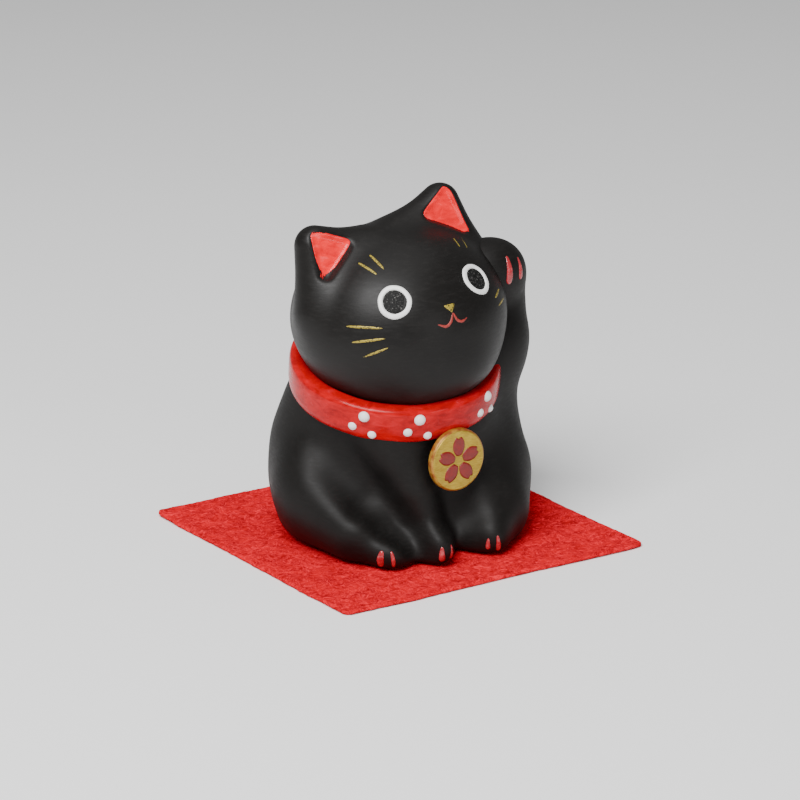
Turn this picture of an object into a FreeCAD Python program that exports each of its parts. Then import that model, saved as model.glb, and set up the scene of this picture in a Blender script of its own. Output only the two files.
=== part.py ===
import FreeCAD, Part

import math
import os

# A beckoning cat figurine that stands loose on a square felt mat.
#
# Units are millimetres. +Z is up. The origin is the middle of the mat's underside, and the mat's
# sides lie along X and Y. The cat is modelled in its own frame, looking towards -Y with its left
# side at +X and its base at Z = 0, and is then turned by CAT_TURN and set on top of the mat.
#
# The cat is a hollow earthenware casting. Its outer skin is a smooth blend of simple lumps, such
# as a belly, haunches and paws. Each casting is a loft through cross-sections of that skin.

# Driving dimensions

MAT_SIDE = 88.0
MAT_THICKNESS = 1.0
MAT_CORNER_RADIUS = 1.5

CAT_TURN = -9.0

WALL = 3.0
BASE_WALL = 3.5
VENT_RADIUS = 1.7
NECK_PASSAGE_RADIUS = 8.0
PARTING_HEIGHT = 47.0

HEAD_CENTRE = (-1.2, -3.6, 56.2)
HEAD_YAW, HEAD_PITCH, HEAD_ROLL = 8.5, 12.0, -9.7

COLLAR_RADIUS = 26.0
COLLAR_WIDTH = 9.0
COLLAR_EDGE_RADIUS = 1.2
COLLAR_CENTRE = (-1.3, -1.6, 40.8)
COLLAR_AXIS = (-0.062, -0.266, 1.0)

DOT_RADIUS = 1.4
DOT_GROUP_ANGLES = (-49.0, -19.0, 27.0)
DOT_OFFSETS = ((0.0, 1.6), (-3.0, -1.3), (2.3, -2.3))

MEDALLION_RADIUS = 7.8
MEDALLION_THICKNESS = 2.0
MEDALLION_EDGE_RADIUS = 0.6
MEDALLION_LUG_RADIUS = 3.5
MEDALLION_CENTRE = (3.5, -26.4, 24.8)
MEDALLION_TURN = 10.0

X_AXIS = (1.0, 0.0, 0.0)
Y_AXIS = (0.0, 1.0, 0.0)
Z_AXIS = (0.0, 0.0, 1.0)

# Loft resolution

SECTION_POINTS = 48
RAY_REACH = 70.0
RAY_STEPS = 26


# Skin lumps. Each one is a function of a point that is negative inside the lump and grows about
# as fast as the distance outside it.

def ellipsoid(centre, radii):
    def distance(point):
        scaled = 0.0
        steep = 0.0
        for value, middle, radius in zip(point, centre, radii):
            offset = (value - middle) / radius
            scaled += offset * offset
            steep += (offset / radius) ** 2
        scaled = math.sqrt(scaled)
        return scaled * (scaled - 1.0) / max(math.sqrt(steep), 1e-9)
    return distance


def tapered_limb(start, end, start_radius, end_radius):
    """Two balls and the cone that touches both."""
    along = [last - first for first, last in zip(start, end)]
    length = math.sqrt(sum(value * value for value in along))
    axis = [value / length for value in along]
    slope = (start_radius - end_radius) / length
    rise = math.sqrt(1.0 - slope * slope)

    def distance(point):
        from_start = [value - first for value, first in zip(point, start)]
        height = sum(a * b for a, b in zip(from_start, axis))
        reach = math.sqrt(sum((a - height * b) ** 2 for a, b in zip(from_start, axis)))
        foot = height - reach * slope / rise
        if foot < 0.0:
            return math.hypot(reach, height) - start_radius
        if foot > length:
            return math.hypot(reach, height - length) - end_radius
        return reach * rise + height * slope - start_radius
    return distance


def blended(width, *lumps):
    """The union of several lumps, with a soft valley about as wide as width where they meet."""
    def distance(point):
        result = lumps[0](point)
        for lump in lumps[1:]:
            other = lump(point)
            overlap = max(width - abs(result - other), 0.0) / width
            result = min(result, other) - overlap * overlap * width / 4.0
        return result
    return distance


def carved(width, lump, hollows):
    """A lump with soft-edged hollows taken out of it."""
    def distance(point):
        result = lump(point)
        for hollow in hollows:
            outside = -hollow(point)
            overlap = max(width - abs(result - outside), 0.0) / width
            result = max(result, outside) + overlap * overlap * width / 4.0
        return result
    return distance


def shrunk(lump, amount):
    def distance(point):
        return lump(point) + amount
    return distance


def mirrored(point, side):
    return (side * point[0], point[1], point[2])


# The cat's skin

def left_hind_leg():
    haunch = tapered_limb((19.3, -4.0, 13.2), (16.2, -15.2, 7.6), 14.0, 11.6)
    foot = ellipsoid((11.6, -23.2, 4.6), (7.2, 9.0, 6.5))
    return blended(7.0, haunch, foot)


def right_hind_leg():
    haunch = tapered_limb((-19.3, -4.0, 13.2), (-17.0, -16.6, 8.2), 14.0, 10.2)
    foot = ellipsoid((-12.0, -23.8, 4.2), (6.8, 9.0, 6.6))
    return blended(6.0, haunch, foot)


def right_front_leg():
    upper = tapered_limb((-9.5, -13.0, 31.0), (-6.0, -19.4, 16.0), 9.6, 7.8)
    lower = tapered_limb((-6.0, -19.4, 16.0), (-3.2, -23.6, 7.0), 7.8, 6.2)
    paw = ellipsoid((-2.1, -27.1, 4.4), (6.0, 7.6, 6.3))
    return blended(5.0, blended(0.6, upper, lower), paw)


# Valleys between the legs: points on the line of a round tool, and its radius at each

HAUNCH_VALLEY = (
    ((-24.6, -15.4, 28.0), 3.8), ((-16.2, -22.1, 16.6), 4.0),
    ((-10.3, -27.0, 8.4), 3.0), ((-7.0, -33.4, 0.0), 1.5))
CHEST_VALLEY = (((3.2, -27.2, 17.0), 2.6), ((4.0, -27.6, 10.0), 3.4), ((4.0, -32.0, 1.0), 2.0))


def valley(line):
    runs = [tapered_limb(start, end, first, last) for (start, first), (end, last) in zip(line, line[1:])]
    return blended(1.0, *runs)


SHOULDER = (19.5, 2.0, 28.4)
ELBOW = (20.9, 1.0, 46.0)
WRIST = (26.4, -1.0, 58.0)
KNUCKLES = (25.3, -3.0, 63.0)
ELBOW_RADIUS = 13.2
WRIST_RADIUS = 5.9
PAW_CENTRE = (21.1, -5.5, 65.1)


def raised_arm_skin():
    upper_arm = tapered_limb(SHOULDER, ELBOW, 12.2, ELBOW_RADIUS)
    forearm = tapered_limb(ELBOW, WRIST, ELBOW_RADIUS, WRIST_RADIUS)
    wrist = tapered_limb(WRIST, KNUCKLES, WRIST_RADIUS, 7.4)
    paw = ellipsoid(PAW_CENTRE, (8.1, 7.7, 7.0))
    return blended(4.0, upper_arm, forearm, wrist, paw)


def torso_skin():
    belly = ellipsoid((0.0, 5.0, 15.6), (30.5, 27.0, 34.3))
    chest = ellipsoid((0.0, -1.0, 34.0), (24.2, 22.5, 24.0))
    trunk = blended(8.0, belly, chest)
    with_haunches = blended(6.0, blended(9.0, trunk, left_hind_leg()), right_hind_leg())
    with_front_leg = blended(4.0, with_haunches, right_front_leg())
    with_arm = blended(6.0, with_front_leg, raised_arm_skin())
    return carved(6.0, with_arm, [valley(HAUNCH_VALLEY), valley(CHEST_VALLEY)])


def skull_skin():
    """The head without its ears, in the head's own frame: left is +X and the nose points to -Y."""
    skull = ellipsoid((0.0, 0.0, 0.0), (26.7, 25.6, 21.7))
    left_cheek = ellipsoid((3.2, -4.0, -5.9), (16.3, 20.5, 11.5))
    right_cheek = ellipsoid((-3.2, -4.0, -5.9), (16.3, 20.5, 11.5))
    return blended(6.0, skull, left_cheek, right_cheek)


EAR_TIP = (18.0, 8.5, 21.2)
EAR_INNER_ROOT = (6.7, 7.0, 15.9)
EAR_OUTER_ROOT = (20.8, 2.0, 8.1)
EAR_EDGE_RADIUS = 4.5


def ear_skin(side):
    """A triangular ear of even thickness, made of limbs along its edges and middle."""
    tip = mirrored(EAR_TIP, side)
    inner = mirrored(EAR_INNER_ROOT, side)
    outer = mirrored(EAR_OUTER_ROOT, side)
    middle = tuple((a + b) / 2.0 for a, b in zip(inner, outer))
    limbs = [tapered_limb(root, tip, EAR_EDGE_RADIUS, EAR_EDGE_RADIUS) for root in (inner, middle, outer)]
    return blended(2.0, *limbs)


# Lofts through the skin

def unit(vector):
    length = math.sqrt(sum(value * value for value in vector))
    return tuple(value / length for value in vector)


def cross(first, second):
    return (first[1] * second[2] - first[2] * second[1],
            first[2] * second[0] - first[0] * second[2],
            first[0] * second[1] - first[1] * second[0])


def skin_point(skin, centre, direction):
    """The point where a ray from centre leaves the skin."""
    near, far = 0.0, RAY_REACH
    for _ in range(RAY_STEPS):
        middle = (near + far) / 2.0
        if skin([c + middle * d for c, d in zip(centre, direction)]) < 0.0:
            near = middle
        else:
            far = middle
    return FreeCAD.Vector(*[c + near * d for c, d in zip(centre, direction)])


def section_wire(skin, centre, across, up, count):
    """A smooth closed outline of the skin in the plane of across and up."""
    points = []
    for index in range(count):
        angle = 2.0 * math.pi * index / count
        direction = [math.cos(angle) * a + math.sin(angle) * b for a, b in zip(across, up)]
        points.append(skin_point(skin, centre, direction))
    outline = Part.BSplineCurve()
    outline.interpolate(points, PeriodicFlag=True)
    return Part.Wire([outline.toShape()])


def skin_loft(skin, centres, across, up, tips=(None, None), count=SECTION_POINTS):
    """A solid through cross-sections of the skin, one round each centre, parallel to across and up.

    A tip is the point of the skin that the solid closes on beyond its first or last section.
    """
    profiles = [section_wire(skin, centre, across, up, count) for centre in centres]
    if tips[0] is not None:
        profiles.insert(0, Part.Vertex(tips[0]))
    if tips[1] is not None:
        profiles.append(Part.Vertex(tips[1]))
    return Part.makeLoft(profiles, True, False)


def between(start, end, share):
    return [a + share * (b - a) for a, b in zip(start, end)]


def rounding_off(start, end, count):
    """Centres that crowd together towards end, where a round body turns in to its tip."""
    return [between(start, end, math.sin(0.5 * math.pi * index / count)) for index in range(count)]


# Placing

def set_on_mat(shape):
    shape.rotate(FreeCAD.Vector(0, 0, 0), FreeCAD.Vector(0, 0, 1), CAT_TURN)
    shape.translate(FreeCAD.Vector(0, 0, MAT_THICKNESS))
    return shape


def set_on_neck(shape):
    """Turn a shape from the head's own frame into the cat's frame."""
    origin = FreeCAD.Vector(0, 0, 0)
    shape.rotate(origin, FreeCAD.Vector(0, 1, 0), HEAD_ROLL)
    shape.rotate(origin, FreeCAD.Vector(1, 0, 0), HEAD_PITCH)
    shape.rotate(origin, FreeCAD.Vector(0, 0, 1), HEAD_YAW)
    shape.translate(FreeCAD.Vector(*HEAD_CENTRE))
    return shape


def cylinder(radius, start, end):
    first = FreeCAD.Vector(*start)
    axis = FreeCAD.Vector(*end) - first
    return Part.makeCylinder(radius, axis.Length, first, axis)


# Whole outer bodies, used both as castings and to trim what touches them

def torso_body():
    heights = (0.0, 2.0, 5.0, 9.0, 14.0, 19.0, 24.0, 29.0, 34.0, 39.0, 43.0, PARTING_HEIGHT)
    return skin_loft(torso_skin(), [(0.0, 1.0, height) for height in heights], X_AXIS, Y_AXIS)


def torso_hollow():
    heights = (BASE_WALL, 6.0, 10.0, 16.0, 22.0, 28.0, 34.0, 40.0, PARTING_HEIGHT + 1.0)
    skin = shrunk(torso_skin(), WALL)
    return skin_loft(skin, [(0.0, 1.0, height) for height in heights], X_AXIS, Y_AXIS)


def skull_body(inset):
    """The skull, drawn in by inset all over, as a round body along the head's own X axis."""
    skin = shrunk(skull_skin(), inset)
    middle = (0.0, 0.0, -1.0)
    right, left = [skin_point(skin, middle, (side, 0.0, 0.0)) for side in (-1.0, 1.0)]
    half_count = 6
    rightward = rounding_off(middle, right, half_count)
    leftward = rounding_off(middle, left, half_count)
    centres = rightward[:0:-1] + leftward
    return skin_loft(skin, centres, Y_AXIS, Z_AXIS, tips=(right, left))


def ear_body(side):
    skin = ear_skin(side)
    root = mirrored(between(EAR_INNER_ROOT, EAR_OUTER_ROOT, 0.5), side)
    along = unit([b - a for a, b in zip(root, mirrored(EAR_TIP, side))])
    tip = skin_point(skin, root, along)
    up = unit(cross(along, X_AXIS))
    return skin_loft(skin, rounding_off(root, tip, 8), cross(up, along), up, tips=(None, tip), count=28)


def head_body():
    return set_on_neck(skull_body(0.0).fuse([ear_body(1), ear_body(-1)]))


def arm_body():
    """The forearm and paw above the elbow, where the casting has its parting plane."""
    skin = raised_arm_skin()
    tip = skin_point(skin, PAW_CENTRE, Z_AXIS)
    elbow = (24.0, 0.5, PARTING_HEIGHT)
    centres = [between(elbow, PAW_CENTRE, share) for share in (0.0, 0.07, 0.15, 0.27, 0.42, 0.6, 0.8)]
    centres += rounding_off(PAW_CENTRE, tip, 5)
    return skin_loft(skin, centres, X_AXIS, Y_AXIS, tips=(None, tip), count=32)


def collar_body():
    """A short barrel round the neck, with rounded rims."""
    axis = FreeCAD.Vector(*COLLAR_AXIS).normalize()
    start = FreeCAD.Vector(*COLLAR_CENTRE) - axis * (COLLAR_WIDTH / 2.0)
    barrel = Part.makeCylinder(COLLAR_RADIUS, COLLAR_WIDTH, start, axis)
    rims = [edge for edge in barrel.Edges if edge.Curve.TypeId == "Part::GeomCircle"]
    return barrel.makeFillet(COLLAR_EDGE_RADIUS, rims)


# Sub-parts

def make_torso(torso, head):
    vent = cylinder(VENT_RADIUS, (0.0, 6.0, -1.0), (0.0, 6.0, BASE_WALL + 2.0))
    return torso.cut([torso_hollow(), head, vent])


def make_head(head):
    hollow = set_on_neck(skull_body(WALL))
    passage = cylinder(NECK_PASSAGE_RADIUS, (0.0, 1.0, 25.0), (0.0, 1.0, 50.0))
    return head.cut([hollow, passage])


def make_raised_arm(arm, head):
    return arm.cut(head)


def make_tail(torso):
    """A short tail that curls round the cat's lower back, half sunk in the casting."""
    route = ((-3.0, 30.0, 8.0), (5.0, 31.0, 8.5), (12.5, 28.5, 10.5), (18.0, 24.5, 14.0))
    radii = (4.2, 4.4, 4.0, 3.2)
    pieces = []
    for start, end, first, last in zip(route, route[1:], radii, radii[1:]):
        axis = FreeCAD.Vector(*end) - FreeCAD.Vector(*start)
        pieces.append(Part.makeCone(first, last, axis.Length, FreeCAD.Vector(*start), axis))
    balls = [Part.makeSphere(radius, FreeCAD.Vector(*point)) for point, radius in zip(route, radii)]
    return balls[0].fuse(balls[1:] + pieces).removeSplitter().cut(torso)


def make_collar(collar, torso, head, arm):
    return collar.cut([torso, head, arm])


def collar_point(angle_from_medallion, height):
    """A point on the collar's outer face, and the direction straight out of it."""
    axis = FreeCAD.Vector(*COLLAR_AXIS).normalize()
    front = FreeCAD.Vector(MEDALLION_CENTRE[0], MEDALLION_CENTRE[1], 0.0)
    front = (front - axis * front.dot(axis)).normalize()
    left = axis.cross(front)
    angle = math.radians(angle_from_medallion)
    outward = front * math.cos(angle) + left * math.sin(angle)
    return FreeCAD.Vector(*COLLAR_CENTRE) + outward * COLLAR_RADIUS + axis * height


def make_collar_dots(collar):
    """Raised dots in threes on the front of the collar, each a low dome standing on its face."""
    dots = []
    for group_angle in DOT_GROUP_ANGLES:
        for along, height in DOT_OFFSETS:
            angle = group_angle + math.degrees(along / COLLAR_RADIUS)
            dots.append(Part.makeSphere(DOT_RADIUS, collar_point(angle, height)).cut(collar))
    return Part.makeCompound([dot.Solids[0] for dot in dots])


def make_medallion(torso, collar):
    """A disc that faces forwards and a little to the cat's left, on a lug from its chest."""
    half = MEDALLION_THICKNESS / 2.0
    disc = cylinder(MEDALLION_RADIUS, (0.0, half, 0.0), (0.0, -half, 0.0))
    rims = [edge for edge in disc.Edges if edge.Curve.TypeId == "Part::GeomCircle"]
    disc = disc.makeFillet(MEDALLION_EDGE_RADIUS, rims)
    whole = disc.fuse(cylinder(MEDALLION_LUG_RADIUS, (0.0, 0.0, 0.0), (0.0, 6.0, 0.0)))
    whole.rotate(FreeCAD.Vector(0, 0, 0), FreeCAD.Vector(0, 0, 1), MEDALLION_TURN)
    whole.translate(FreeCAD.Vector(*MEDALLION_CENTRE))
    return whole.cut([torso, collar])


def make_felt_mat():
    half = MAT_SIDE / 2.0
    mat = Part.makeBox(MAT_SIDE, MAT_SIDE, MAT_THICKNESS, FreeCAD.Vector(-half, -half, 0.0))
    corners = [edge for edge in mat.Edges if abs(edge.Vertexes[0].Z - edge.Vertexes[1].Z) > 0.5]
    return mat.makeFillet(MAT_CORNER_RADIUS, corners)


def build():
    torso = torso_body()
    head = head_body()
    arm = arm_body()
    collar = collar_body()
    parts = {
        "torso": make_torso(torso, head),
        "head": make_head(head),
        "raised_arm": make_raised_arm(arm, head),
        "tail": make_tail(torso),
        "collar": make_collar(collar, torso, head, arm),
        "collar_dots": make_collar_dots(collar),
        "medallion": make_medallion(torso, collar),
    }
    for shape in parts.values():
        set_on_mat(shape)
    parts["felt_mat"] = make_felt_mat()
    return parts


os.makedirs("parts", exist_ok=True)
for name, shape in build().items():
    box = shape.BoundBox
    print("%-12s solids %d valid %s volume %.0f  x %.1f..%.1f  y %.1f..%.1f  z %.1f..%.1f" % (
        name, len(shape.Solids), shape.isValid(), shape.Volume,
        box.XMin, box.XMax, box.YMin, box.YMax, box.ZMin, box.ZMax))
    shape.exportStep("parts/%s.step" % name)
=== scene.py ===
import math

import bmesh
import bpy
import numpy as np
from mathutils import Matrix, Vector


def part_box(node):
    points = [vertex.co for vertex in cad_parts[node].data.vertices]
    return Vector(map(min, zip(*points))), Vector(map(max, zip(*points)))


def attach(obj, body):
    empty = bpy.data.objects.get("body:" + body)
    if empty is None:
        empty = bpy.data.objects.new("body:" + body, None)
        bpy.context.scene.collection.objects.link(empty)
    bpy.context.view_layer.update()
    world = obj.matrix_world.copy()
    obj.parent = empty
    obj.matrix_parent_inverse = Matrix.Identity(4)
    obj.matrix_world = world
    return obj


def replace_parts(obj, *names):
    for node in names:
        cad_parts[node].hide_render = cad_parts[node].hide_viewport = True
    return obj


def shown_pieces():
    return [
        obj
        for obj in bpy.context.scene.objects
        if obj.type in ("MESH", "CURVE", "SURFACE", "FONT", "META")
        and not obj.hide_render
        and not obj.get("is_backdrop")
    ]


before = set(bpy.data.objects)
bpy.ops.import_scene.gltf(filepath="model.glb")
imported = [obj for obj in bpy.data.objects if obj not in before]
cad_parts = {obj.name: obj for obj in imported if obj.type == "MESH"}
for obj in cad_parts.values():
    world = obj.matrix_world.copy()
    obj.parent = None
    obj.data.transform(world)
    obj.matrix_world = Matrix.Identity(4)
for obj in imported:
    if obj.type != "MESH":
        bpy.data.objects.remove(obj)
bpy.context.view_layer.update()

import openvdb
from mathutils import Vector

# A beckoning cat figurine on a felt mat. Shapes are worked out in millimetres, in the cat's own
# frame (base at Z = 0, looking towards -Y, its left side at +X), and written out in metres.

MM = 0.001
CAT_TURN = math.radians(-9.0)
MAT_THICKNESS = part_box("felt_mat")[1][2] / MM
RNG = np.random.default_rng(12)


# ---------------------------------------------------------------------------------------------
# Skin: smooth blends of lumps. A lump is a function of an (N, 3) array of points that is
# negative inside and grows about as fast as the distance outside.

def unit(vector):
    vector = np.asarray(vector, float)
    return vector / np.linalg.norm(vector)


def ellipsoid(centre, radii):
    centre, radii = np.array(centre, float), np.array(radii, float)

    def distance(points):
        offset = (points - centre) / radii
        scaled = np.sqrt((offset ** 2).sum(-1))
        steep = np.sqrt(((offset / radii) ** 2).sum(-1))
        return scaled * (scaled - 1.0) / np.maximum(steep, 1e-9)
    return distance


def limb(start, end, start_radius, end_radius):
    """Two balls and the cone that touches both."""
    start, along = np.array(start, float), np.subtract(end, start).astype(float)
    length = np.linalg.norm(along)
    axis = along / length
    slope = (start_radius - end_radius) / length
    rise = math.sqrt(1.0 - slope ** 2)

    def distance(points):
        from_start = points - start
        height = from_start @ axis
        reach = np.linalg.norm(from_start - height[..., None] * axis, axis=-1)
        foot = height - reach * slope / rise
        near_start = np.sqrt(reach ** 2 + height ** 2) - start_radius
        near_end = np.sqrt(reach ** 2 + (height - length) ** 2) - end_radius
        between = reach * rise + height * slope - start_radius
        return np.where(foot < 0.0, near_start, np.where(foot > length, near_end, between))
    return distance


def plate(corners, radius):
    """A triangle with that half thickness and round edges."""
    corners = [np.array(corner, float) for corner in corners]
    sides = list(zip(corners, corners[1:] + corners[:1]))
    normal = unit(np.cross(corners[1] - corners[0], corners[2] - corners[0]))

    def distance(points):
        inside = np.ones(points.shape[:-1], bool)
        nearest = np.full(points.shape[:-1], np.inf)
        for start, end in sides:
            along = end - start
            inside &= (points - start) @ np.cross(normal, along) > 0.0
            share = np.clip((points - start) @ along / (along @ along), 0.0, 1.0)
            nearest = np.minimum(nearest, ((points - start - share[..., None] * along) ** 2).sum(-1))
        flat = ((points - corners[0]) @ normal) ** 2
        return np.sqrt(np.where(inside, flat, nearest)) - radius
    return distance


def join(first, second, width):
    """Union of two distances, with a soft valley about as wide as width."""
    overlap = np.maximum(width - np.abs(first - second), 0.0) / width
    return np.minimum(first, second) - overlap ** 2 * width / 4.0


def carve(first, second, width):
    """What is in both, with a soft edge."""
    return -join(-first, -second, width)


def blended(width, *lumps):
    def distance(points):
        result = lumps[0](points)
        for lump in lumps[1:]:
            result = join(result, lump(points), width)
        return result
    return distance


def mirrored(point, side):
    return (side * point[0], point[1], point[2])


# The cat's skin

SHOULDER, ELBOW = (19.5, 2.0, 28.4), (20.9, 1.0, 46.0)
WRIST, KNUCKLES = (26.4, -1.0, 58.0), (25.3, -3.0, 63.0)
RAISED_PAW = (21.1, -5.5, 65.1)


def left_hind_leg():
    haunch = limb((19.3, -4.0, 13.2), (16.2, -15.2, 7.6), 14.0, 11.6)
    foot = ellipsoid((11.6, -23.2, 4.6), (7.2, 9.0, 6.5))
    return blended(5.0, haunch, foot)


def right_hind_leg():
    haunch = limb((-19.3, -4.0, 13.2), (-17.0, -16.6, 8.2), 14.0, 10.2)
    foot = ellipsoid((-12.4, -23.4, 4.4), (7.6, 8.8, 6.7))
    return blended(3.0, haunch, foot)


def right_front_leg():
    upper = limb((-9.5, -13.0, 31.0), (-6.0, -19.4, 16.0), 9.6, 7.8)
    lower = limb((-6.0, -19.4, 16.0), (-3.2, -23.6, 7.0), 7.8, 6.2)
    paw = ellipsoid((-2.3, -26.7, 4.4), (7.0, 7.5, 6.1))
    return blended(3.5, blended(0.6, upper, lower), paw)


# Valleys between the legs: points on the line of a round tool, and its radius at each

HAUNCH_VALLEY = (
    ((-26.2, -14.7, 28.0), 3.9), ((-17.8, -21.4, 16.6), 3.9),
    ((-11.2, -27.3, 8.8), 2.4), ((-8.4, -31.8, 4.6), 0.9))
CHEST_VALLEY = (((3.2, -27.9, 17.0), 2.3), ((4.4, -28.8, 10.0), 2.6), ((4.8, -32.8, 1.0), 1.8))
VALLEY_SOFTNESS = 8.0
BASE_SOFTNESS = 2.0


def valley(line):
    runs = [limb(start, end, first, last) for (start, first), (end, last) in zip(line, line[1:])]
    return blended(1.0, *runs)


def raised_arm():
    upper_arm = limb(SHOULDER, ELBOW, 12.2, 13.2)
    forearm = limb(ELBOW, WRIST, 13.2, 5.9)
    wrist = limb(WRIST, KNUCKLES, 5.9, 7.4)
    paw = ellipsoid(RAISED_PAW, (8.1, 7.7, 7.0))
    return blended(5.0, upper_arm, forearm, wrist, paw)


TAIL_ROUTE = ((-3.0, 29.5, 8.0), (5.0, 30.5, 8.5), (12.5, 28.0, 10.5), (18.0, 24.0, 14.0))
TAIL_RADII = (4.2, 4.4, 4.0, 3.2)


def tail():
    steps = 7
    route = smooth_route(TAIL_ROUTE, steps)
    radii = np.interp(np.linspace(0.0, 3.0, steps), range(4), TAIL_RADII)
    runs = zip(route, route[1:], radii, radii[1:])
    return blended(0.3, *[limb(start, end, first, last) for start, end, first, last in runs])


def body_skin():
    """Torso, legs, raised arm and tail in one, cut off flat and softly at the base."""
    belly = ellipsoid((0.0, 5.0, 15.6), (30.5, 27.0, 34.3))
    chest = ellipsoid((0.0, -1.0, 34.0), (24.2, 22.5, 24.0))
    trunk = blended(8.0, belly, chest)
    haunches = blended(5.0, blended(9.0, trunk, left_hind_leg()), right_hind_leg())
    upright = blended(3.0, haunches, right_front_leg())
    armed = blended(6.0, upright, raised_arm())
    tailed = blended(2.0, armed, tail())
    valleys = [valley(HAUNCH_VALLEY), valley(CHEST_VALLEY)]

    def distance(points):
        result = tailed(points)
        for hollow in valleys:
            result = carve(result, -hollow(points), VALLEY_SOFTNESS)
        return carve(result, -points[..., 2], BASE_SOFTNESS)
    return distance


EAR_TIP, EAR_INNER_ROOT, EAR_OUTER_ROOT = (17.9, 8.4, 20.9), (6.2, 7.0, 16.2), (21.3, 2.0, 7.4)
EAR_EDGE_RADIUS = 4.9
HEAD_CENTRE = (-1.2, -3.6, 56.2)
HEAD_YAW, HEAD_PITCH, HEAD_ROLL = math.radians(8.5), math.radians(12.0), math.radians(-9.7)


def turn(angle, axis):
    """Rotation matrix about X, Y or Z, for column vectors."""
    cosine, sine = math.cos(angle), math.sin(angle)
    first, second = [(1, 2), (2, 0), (0, 1)]["XYZ".index(axis)]
    matrix = np.eye(3)
    matrix[first, first] = matrix[second, second] = cosine
    matrix[first, second], matrix[second, first] = -sine, sine
    return matrix


HEAD_TURN = turn(HEAD_YAW, "Z") @ turn(HEAD_PITCH, "X") @ turn(HEAD_ROLL, "Y")


def to_head(points):
    return (points - HEAD_CENTRE) @ HEAD_TURN


def from_head(points):
    return np.asarray(points, float) @ HEAD_TURN.T + HEAD_CENTRE


def ear(side):
    corners = [mirrored(corner, side) for corner in (EAR_TIP, EAR_INNER_ROOT, EAR_OUTER_ROOT)]
    return plate(corners, EAR_EDGE_RADIUS)


EAR_LINING = ((19.6, 7.2, 26.9), (9.6, 3.9, 21.9), (21.4, -0.6, 14.9))
SCOOP_RADIUS, SCOOP_DEPTH = 1.6, 0.9


def lining_frame(side):
    """Corners of an ear's lining, their centre, and the direction it faces."""
    corners = np.array([mirrored(corner, side) for corner in EAR_LINING])
    facing = np.cross(corners[1] - corners[0], corners[2] - corners[0])
    facing = unit(facing if facing[1] < 0.0 else -facing)
    return corners, corners.mean(0), facing


def ear_scoop(side):
    """The hollow in the front of an ear."""
    corners, centre, facing = lining_frame(side)
    inset = centre + 0.62 * (corners - centre) + (SCOOP_RADIUS - SCOOP_DEPTH) * facing
    return plate(list(inset), SCOOP_RADIUS)


def head_skin():
    skull = ellipsoid((0.0, 0.0, 0.0), (26.7, 25.6, 21.7))
    cheeks = [ellipsoid(mirrored((3.2, -4.0, -5.9), side), (16.3, 20.5, 11.5)) for side in (-1, 1)]
    round_head = blended(6.0, skull, *cheeks)
    ears = [ear(-1), ear(1)]
    scoops = [ear_scoop(-1), ear_scoop(1)]

    def distance(points):
        local = to_head(points)
        result = round_head(local)
        for lump in ears:
            result = join(result, lump(local), 5.4)
        for hollow in scoops:
            result = carve(result, -hollow(local), 1.2)
        return result
    return distance


# ---------------------------------------------------------------------------------------------
# Meshes

def set_on_mat(points):
    """From the cat's frame in millimetres to the row frame in metres."""
    placed = np.asarray(points, float) @ turn(CAT_TURN, "Z").T
    placed[..., 2] += MAT_THICKNESS
    return placed * MM


def make_object(name, vertices, faces):
    """A smooth-shaded mesh. vertices are in the row frame, in metres."""
    mesh = bpy.data.meshes.new(name)
    corners = [tuple(vertex) for vertex in np.asarray(vertices)]
    mesh.from_pydata(corners, [], [tuple(face) for face in faces])
    mesh.update()
    mesh.polygons.foreach_set("use_smooth", [True] * len(mesh.polygons))
    obj = bpy.data.objects.new(name, mesh)
    bpy.context.scene.collection.objects.link(obj)
    return obj


def gradient(skin, points, step=0.05):
    slopes = [skin(points + step * axis) - skin(points - step * axis) for axis in np.eye(3)]
    return np.stack(slopes, -1) / (2.0 * step)


def normals_of(skin, points):
    slope = gradient(skin, points)
    return slope / np.maximum(np.linalg.norm(slope, axis=-1, keepdims=True), 1e-9)


def settle(skin, points, rounds=3):
    """Moves points along the slope of the skin until they lie on it."""
    for _ in range(rounds):
        slope = gradient(skin, points)
        steepness = np.maximum((slope ** 2).sum(-1, keepdims=True), 1e-4)
        points = points - skin(points)[..., None] * slope / steepness
    return points


def mesh_of(skin, low, high, voxel):
    """Vertices and quads of the skin between two corners."""
    axes = [np.arange(start, stop + voxel, voxel) for start, stop in zip(low, high)]
    values = np.empty([len(axis) for axis in axes], np.float32)
    for index, x in enumerate(axes[0]):
        y, z = np.meshgrid(axes[1], axes[2], indexing="ij")
        values[index] = skin(np.stack([np.full_like(y, x), y, z], -1))
    grid = openvdb.FloatGrid(4.0 * voxel)
    grid.copyFromArray(np.clip(values, -4.0 * voxel, 4.0 * voxel))
    vertices, quads = grid.convertToQuads(isovalue=0.0)
    return settle(skin, vertices * voxel + np.array(low, float)), quads[:, ::-1]


VOXEL = 0.5
UNEVENNESS = 0.06


def surface_piece(name, skin, low, high):
    """A closed mesh of a skin, with the slight unevenness of a hand-finished casting."""
    vertices, faces = mesh_of(skin, low, high, VOXEL)
    wobble = np.sin(vertices[:, 0] * 0.37 + 1.0) * np.sin(vertices[:, 1] * 0.31 + 0.4)
    wobble += np.sin(vertices[:, 2] * 0.43 + vertices[:, 0] * 0.11)
    above_base = np.clip(vertices[:, 2:] / 3.0, 0.0, 1.0)
    vertices = vertices + normals_of(skin, vertices) * wobble[:, None] * above_base * UNEVENNESS
    return make_object(name, set_on_mat(vertices), faces)


# ---------------------------------------------------------------------------------------------
# Enamel and paint: thin closed pieces that follow the skin under them

ROOT_DEPTH = 0.3


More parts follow.
